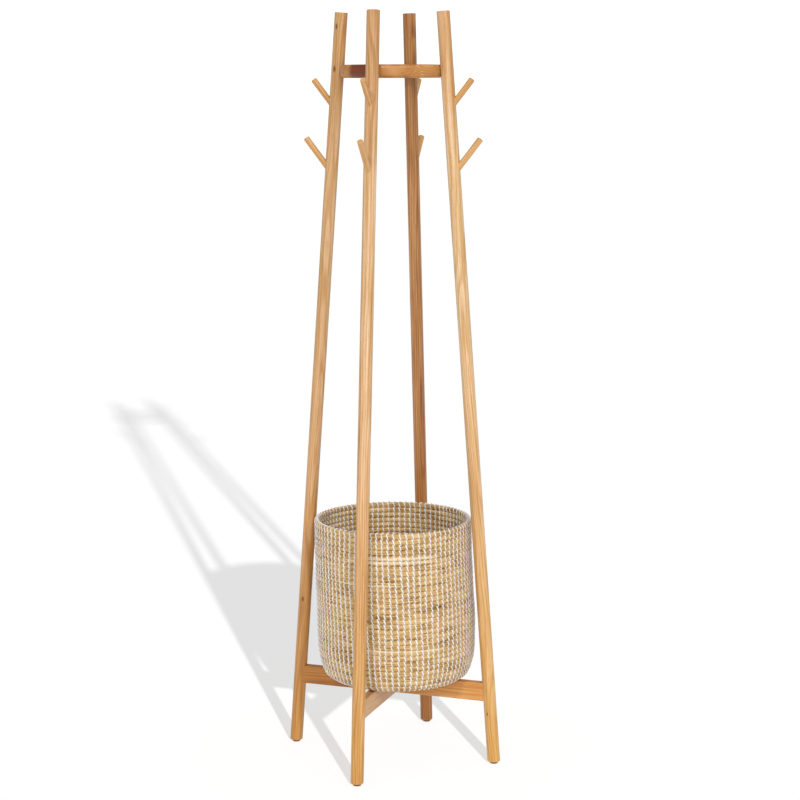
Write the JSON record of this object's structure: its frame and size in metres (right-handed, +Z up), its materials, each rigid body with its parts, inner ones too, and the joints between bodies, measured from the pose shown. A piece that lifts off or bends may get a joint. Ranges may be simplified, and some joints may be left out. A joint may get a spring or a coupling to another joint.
{
  "type": "standing coat rack",
  "caption": "Free-standing oak coat rack: splayed round legs joined by a top ring and crossed bars, slanted coat pegs, and a loose round seagrass basket standing on the cross.",
  "frame": {"origin": "on the floor under the middle of the rack, where the rack's upright axis meets the plane of the glides' undersides", "axes": "+Z up along the rack's upright axis; +X towards the right leg and +Y towards the back leg"},
  "size_m": [0.5328, 0.5328, 1.751],
  "materials": {
    "oak": "oiled, satin",
    "glide_plastic": "moulded, matt",
    "zinc_steel": "zinc plated",
    "brass_insert": "turned, plain",
    "seagrass": "coiled dry grass sewn with white twine"
  },
  "bodies": {
    "stand": {"leg_right": "oak", "leg_back": "oak", "leg_left": "oak", "leg_front": "oak", "upper_peg_right": "oak", "upper_peg_back": "oak", "upper_peg_left": "oak", "upper_peg_front": "oak", "lower_peg_right": "oak", "lower_peg_back": "oak", "lower_peg_left": "oak", "lower_peg_front": "oak", "top_ring": "oak", "cross_bar_left_right": "oak", "cross_bar_front_back": "oak", "glide_right": "glide_plastic", "glide_back": "glide_plastic", "glide_left": "glide_plastic", "glide_front": "glide_plastic", "glide_nails": "zinc_steel", "ring_bolts": "zinc_steel", "ring_washers": "zinc_steel", "leg_inserts": "brass_insert", "cross_bolt": "zinc_steel", "cross_washer": "zinc_steel", "cross_nut": "zinc_steel"},
    "basket": {"basket": "seagrass"}
  },
  "joints": [
    {"name": "basket_lift", "type": "slide", "parent": "stand", "child": "basket", "axis": [0, 0, 1], "range_m": [0, 0.09]}
  ]
}
